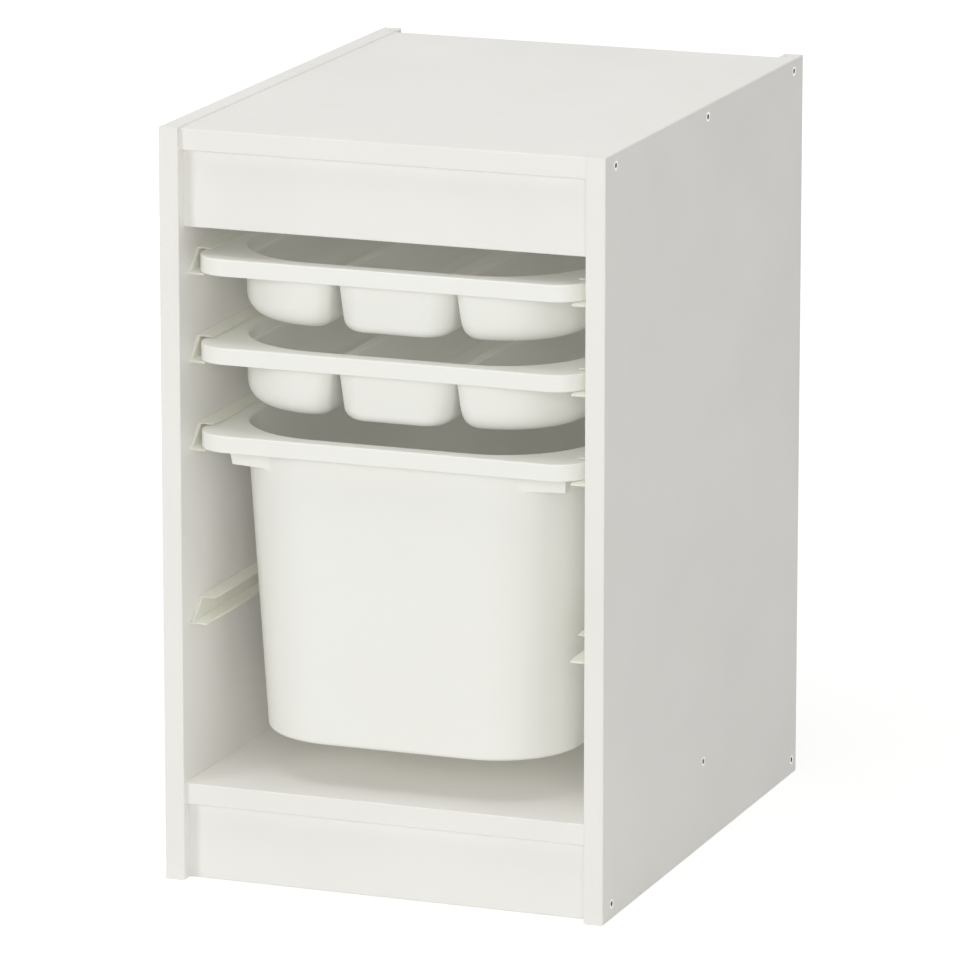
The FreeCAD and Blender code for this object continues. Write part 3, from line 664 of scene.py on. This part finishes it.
def foil_finish(name, box, tone, seam=None):
    """White foil on board: matt with a fine emboss, faint mottling, and edges worn by hands.

    The seam is where along Y the front edging's foil meets the board's, as a hairline.
    """
    finish = Finish(name, IOR=1.47)
    cloud = finish.noise(7.0, 3.0)
    fleck = finish.noise(420.0, 2.0, 0.6)
    emboss = finish.noise(1500.0, 2.0, 0.6)
    orange_peel = finish.noise(260.0, 1.0)
    darker, lighter = times(tone, 0.965), times(tone, 1.015)
    colour = finish.blend(finish.ramp(cloud, 0.3, 0.7, 0.35, 1.0), darker, lighter)
    colour = finish.blend(finish.ramp(fleck, 0.62, 0.8, 0.0, 0.25), colour, darker)
    edge = finish.ramp(near_edges(finish, box), 0.0, 0.0016, 1.0, 0.0)
    patchy = finish.ramp(finish.noise(38.0, 4.0, 0.65), 0.46, 0.7, 0.02, 0.4)
    wear = finish.maths("MULTIPLY", edge, patchy)
    worn = tuple(value * shade for value, shade in zip(tone, (0.86, 0.85, 0.82))) + (1.0,)
    colour = finish.blend(wear, colour, worn)
    rough = finish.ramp(finish.noise(16.0, 4.0, 0.6), 0.3, 0.7, 0.40, 0.50)
    rough = finish.maths("ADD", rough, finish.maths("MULTIPLY", wear, 0.15))
    if seam is not None:
        line = finish.maths("COMPARE", finish.axes(finish.place)[1], seam, SEAM_WIDTH / 2)
        colour = finish.blend(finish.maths("MULTIPLY", line, 0.6), colour, times(tone, 0.8))
    normal = finish.bumps(orange_peel, 0.00006, 0.35)
    normal = finish.bumps(emboss, 0.00003, 0.5, normal)
    finish.feed(Base_Color=colour, Roughness=rough, Normal=normal)
    return finish.material


def moulded_finish(name, tone, shade, gloss):
    """Moulded plastic: a fine spark-worn grain, faint flow marks, and scuffs along the slide."""
    finish = Finish(name, IOR=1.5)
    flow = finish.noise(11.0, 3.0, 0.55)
    grain = finish.noise(2400.0, 2.0, 0.6)
    swell = finish.noise(70.0, 2.0)
    share = finish.ramp(flow, 0.32, 0.68, 0.0, 0.4)
    colour = finish.blend(share, times(tone, 1.0), times(shade, 1.0))
    along = finish.stretched(700.0, 9.0, 700.0)
    scuff = finish.ramp(finish.noise(1.0, 3.0, 0.6, along), 0.62, 0.78, 0.0, 1.0)
    patch = finish.ramp(finish.noise(22.0, 2.0), 0.5, 0.72, 0.0, 0.7)
    scuff = finish.maths("MULTIPLY", scuff, patch)
    colour = finish.blend(finish.maths("MULTIPLY", scuff, 0.35), colour, times(tone, 0.93))
    rough = finish.ramp(finish.noise(30.0, 3.0), 0.3, 0.7, gloss - 0.04, gloss + 0.05)
    rough = finish.maths("ADD", rough, finish.maths("MULTIPLY", scuff, 0.12))
    normal = finish.bumps(swell, 0.0002, 0.12)
    normal = finish.bumps(grain, 0.00002, 0.5, normal)
    finish.feed(Base_Color=colour, Roughness=rough, Normal=normal)
    return finish.material


def hardboard_finish():
    """Painted hardboard: smooth paint over faint pressed fibres."""
    finish = Finish("white_hardboard_paint", IOR=1.46)
    fibre = finish.noise(1.0, 4.0, 0.7, finish.stretched(900.0, 900.0, 140.0))
    cloud = finish.noise(6.0, 3.0)
    tone, shade = (0.80, 0.795, 0.77, 1.0), (0.75, 0.745, 0.715, 1.0)
    colour = finish.blend(finish.ramp(cloud, 0.3, 0.7, 0.0, 0.7), tone, shade)
    colour = finish.blend(finish.ramp(fibre, 0.6, 0.8, 0.0, 0.3), colour, shade)
    rough = finish.ramp(fibre, 0.3, 0.7, 0.5, 0.62)
    finish.feed(Base_Color=colour, Roughness=rough, Normal=finish.bumps(fibre, 0.00008, 0.4))
    return finish.material


def screw_finish(name, face):
    """Bright zinc on the head's face, with painted shade, a near-black colour, down in the socket
    and behind it.

    The face is where along X the heads end.
    """
    finish = Finish(name, Metallic=1.0)
    depth = finish.maths("ABSOLUTE", finish.maths("SUBTRACT", finish.axes(finish.place)[0], face))
    # painted shade: everything more than 0.9 mm behind the heads' face, the socket and the shank,
    # is coloured near-black
    shade_below_face = finish.ramp(depth, 0.0006, 0.0009, 0.0, 1.0)
    cloud = finish.noise(900.0, 2.0)
    spread = finish.ramp(cloud, 0.3, 0.7, 0, 1)
    zinc = finish.blend(spread, (0.93, 0.93, 0.92, 1), (0.84, 0.84, 0.83, 1))
    # the colour named steel here is painted shade for the socket and the shank, far darker than
    # real steel
    steel = finish.blend(spread, (0.05, 0.05, 0.05, 1), (0.12, 0.12, 0.12, 1))
    rough = finish.ramp(finish.noise(500.0), 0.3, 0.7, 0.3, 0.42)
    colour = finish.blend(shade_below_face, zinc, steel)
    finish.feed(Base_Color=colour, Roughness=rough, Normal=finish.bumps(cloud, 0.00002, 0.4))
    return finish.material


def beech_finish():
    """Beech dowels: pale wood with short dark flecks and a fine fluted grain."""
    finish = Finish("beech_wood", IOR=1.45)
    grain = finish.noise(1.0, 4.0, 0.6, finish.stretched(160.0, 900.0, 900.0))
    fleck = finish.noise(1.0, 2.0, 0.5, finish.stretched(260.0, 2200.0, 2200.0))
    colour = finish.blend(
        finish.ramp(grain, 0.3, 0.7, 0, 1), (0.62, 0.44, 0.27, 1), (0.45, 0.29, 0.16, 1)
    )
    colour = finish.blend(finish.ramp(fleck, 0.64, 0.72, 0, 0.7), colour, (0.25, 0.14, 0.08, 1))
    rough = finish.ramp(grain, 0.3, 0.7, 0.55, 0.7)
    finish.feed(Base_Color=colour, Roughness=rough, Normal=finish.bumps(grain, 0.0001, 0.6))
    return finish.material


def nail_finish():
    """Bright drawn steel with faint rings and specks."""
    finish = Finish("bright_steel", Metallic=1.0)
    speck = finish.noise(2600.0, 3.0)
    drawn = finish.noise(1.0, 2.0, 0.5, finish.stretched(3000.0, 200.0, 3000.0))
    colour = finish.blend(
        finish.ramp(speck, 0.35, 0.7, 0, 1), (0.62, 0.62, 0.61, 1), (0.42, 0.41, 0.4, 1)
    )
    rough = finish.ramp(drawn, 0.3, 0.7, 0.24, 0.4)
    finish.feed(Base_Color=colour, Roughness=rough, Normal=finish.bumps(drawn, 0.00002, 0.5))
    return finish.material


def give(thing, material):
    """Puts one material on every face of a piece or a CAD node."""
    if not thing.material_slots:
        thing.data.materials.append(material)
    for place in thing.material_slots:
        place.material = material


# ---------------------------------------------------------------- the object

BOARD_TONE = (0.877, 0.866, 0.836)
# how far out the side panels' outer faces are, and the screw heads' with them
OUTER_FACE = 0.17
# where along Y the edging at a board's front begins
FRONT_SEAMS = {
    "side_panel_left": -0.2189,
    "side_panel_right": -0.2189,
    "top_panel": -0.2149,
    "bottom_shelf": -0.2149,
}
BOARDS = (
    "side_panel_left",
    "side_panel_right",
    "top_panel",
    "bottom_shelf",
    "front_rail",
    "front_plinth",
    "rear_plinth",
)

for board in BOARDS:
    foil = foil_finish(f"{board}_foil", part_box(board), BOARD_TONE, FRONT_SEAMS.get(board))
    give(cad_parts[board], foil)

give(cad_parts["back_panel"], hardboard_finish())
give(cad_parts["panel_screws_left"], screw_finish("left_screw_zinc", -OUTER_FACE))
give(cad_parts["panel_screws_right"], screw_finish("right_screw_zinc", OUTER_FACE))
beech = beech_finish()
for dowels in ("side_dowels_left", "side_dowels_right", "front_rail_dowels", "front_plinth_dowels"):
    give(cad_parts[dowels], beech)
give(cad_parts["back_panel_nails"], nail_finish())

tray_plastic = moulded_finish("tray_plastic", (0.903, 0.903, 0.868), (0.888, 0.883, 0.832), 0.40)
rail_plastic = moulded_finish("rail_plastic", (0.84, 0.84, 0.765), (0.81, 0.805, 0.715), 0.36)

for container, piece in (
    ("upper_tray", make_tray("upper_tray")),
    ("lower_tray", make_tray("lower_tray")),
    ("storage_bin", make_bin()),
):
    give(piece, tray_plastic)
    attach(piece, container)
    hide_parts(container)

for level in (1, 2, 3, 4):
    for wall, side in (("left", 1), ("right", -1)):
        rail_node = f"rail_{wall}_{level}"
        rail = make_rail(rail_node, side)
        give(rail, rail_plastic)
        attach(rail, "cabinet")
        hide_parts(rail_node)


# ---------------------------------------------------------------- the studio


def flat_sheet(name, size, height):
    """A square floor about the origin."""
    half = size / 2
    mesh = bpy.data.meshes.new(name)
    around = ((-half, -half), (half, -half), (half, half), (-half, half))
    mesh.from_pydata([(x, y, height) for x, y in around], [], [(0, 1, 2, 3)])
    sheet = bpy.data.objects.new(name, mesh)
    bpy.context.scene.collection.objects.link(sheet)
    return sheet


def add_nodes(tree, *kinds):
    """Adds one shader node of each kind and gives them in the same order."""
    return [tree.nodes.new(f"ShaderNode{kind}") for kind in kinds]


def floor_finish():
    """A white floor: plain and pale in its light on the object, near white where it is seen.

    What is seen is a share of the light that falls on it, which keeps the shadow, and a glow
    that grows with the distance from the object.
    """
    material = bpy.data.materials.new("studio_floor")
    material.use_nodes = True
    tree = material.node_tree
    tree.nodes.clear()
    out, plain, seen = add_nodes(tree, "OutputMaterial", "BsdfDiffuse", "BsdfDiffuse")
    place, away, whiter, glow = add_nodes(tree, "TexCoord", "VectorMath", "MapRange", "Emission")
    path, either, lit, mix = add_nodes(tree, "LightPath", "Math", "AddShader", "MixShader")
    plain.inputs["Color"].default_value = (0.82, 0.82, 0.81, 1)
    seen.inputs["Color"].default_value = (0.30, 0.30, 0.30, 1)
    away.operation = "LENGTH"
    for socket, value in (("From Min", 0.5), ("From Max", 3.0), ("To Min", 0.8), ("To Max", 1.0)):
        whiter.inputs[socket].default_value = value
    either.operation = "MAXIMUM"
    link = tree.links.new
    link(place.outputs["Object"], away.inputs[0])
    link(away.outputs["Value"], whiter.inputs["Value"])
    link(whiter.outputs["Result"], glow.inputs["Strength"])
    link(seen.outputs[0], lit.inputs[0])
    link(glow.outputs[0], lit.inputs[1])
    link(path.outputs["Is Camera Ray"], either.inputs[0])
    link(path.outputs["Is Glossy Ray"], either.inputs[1])
    link(either.outputs[0], mix.inputs[0])
    link(plain.outputs[0], mix.inputs[1])
    link(lit.outputs[0], mix.inputs[2])
    link(mix.outputs[0], out.inputs["Surface"])
    return material


def light_world(strength):
    """Plain soft light from all round, which looks white where it is seen."""
    world = bpy.data.worlds.new("studio_world")
    world.use_nodes = True
    tree = world.node_tree
    tree.nodes.clear()
    out, soft, white = add_nodes(tree, "OutputWorld", "Background", "Background")
    path, glossy, through, mix = add_nodes(tree, "LightPath", "Math", "Math", "MixShader")
    soft.inputs["Color"].default_value = (1.0, 0.995, 0.985, 1)
    soft.inputs["Strength"].default_value = strength
    white.inputs["Color"].default_value = (1, 1, 1, 1)
    white.inputs["Strength"].default_value = 1.0
    glossy.operation = through.operation = "MAXIMUM"
    link = tree.links.new
    link(path.outputs["Is Camera Ray"], glossy.inputs[0])
    link(path.outputs["Is Glossy Ray"], glossy.inputs[1])
    link(glossy.outputs[0], through.inputs[0])
    link(path.outputs["Is Transmission Ray"], through.inputs[1])
    link(through.outputs[0], mix.inputs[0])
    link(soft.outputs[0], mix.inputs[1])
    link(white.outputs[0], mix.inputs[2])
    link(mix.outputs[0], out.inputs["Surface"])
    bpy.context.scene.world = world


def area_light(name, place, size, power, tint=(1, 1, 1), shadows=True):
    """A square soft light that faces the object's middle.

    One without shadows stands for light that white surroundings throw into the frame.
    """
    lamp = bpy.data.lights.new(name, "AREA")
    lamp.shape = "SQUARE"
    lamp.size = size
    lamp.energy = power
    lamp.color = tint
    lamp.use_shadow = shadows
    holder = bpy.data.objects.new(name, lamp)
    bpy.context.scene.collection.objects.link(holder)
    holder.location = place
    aim = Vector((0, 0, 0.3)) - Vector(place)
    holder.rotation_euler = aim.to_track_quat("-Z", "Y").to_euler()


def place_camera():
    """The photograph's view: from the front right and a little above, through a long lens."""
    lens = bpy.data.cameras.new("view")
    lens.sensor_fit = "HORIZONTAL"
    lens.sensor_width = 36.0
    lens.lens = 273.6
    lens.clip_end = 50.0
    camera = bpy.data.objects.new("view", lens)
    camera.location = (1.8615, -4.9377, 1.5282)
    camera.rotation_euler = (math.radians(90 - 13.46), 0.0, math.radians(20.73))
    bpy.context.scene.collection.objects.link(camera)
    bpy.context.scene.camera = camera


floor = flat_sheet("studio_floor", 14.0, -0.0003)
give(floor, floor_finish())
light_world(0.33)
area_light("front_right_softbox", (2.0, -4.7, 1.4), 1.6, 49)
area_light("front_left_softbox", (-2.7, -4.1, 1.4), 1.6, 52)
area_light("overhead_softbox", (-0.2, -0.7, 3.9), 2.0, 40)
area_light("overhead_fill", (-0.2, -0.7, 3.9), 2.0, 20, (1, 0.985, 0.9), shadows=False)
area_light("right_fill", (3.5, -2.0, 1.0), 2.0, 15, (1, 0.99, 0.95), shadows=False)
place_camera()
bpy.context.scene.view_settings.view_transform = "Standard"
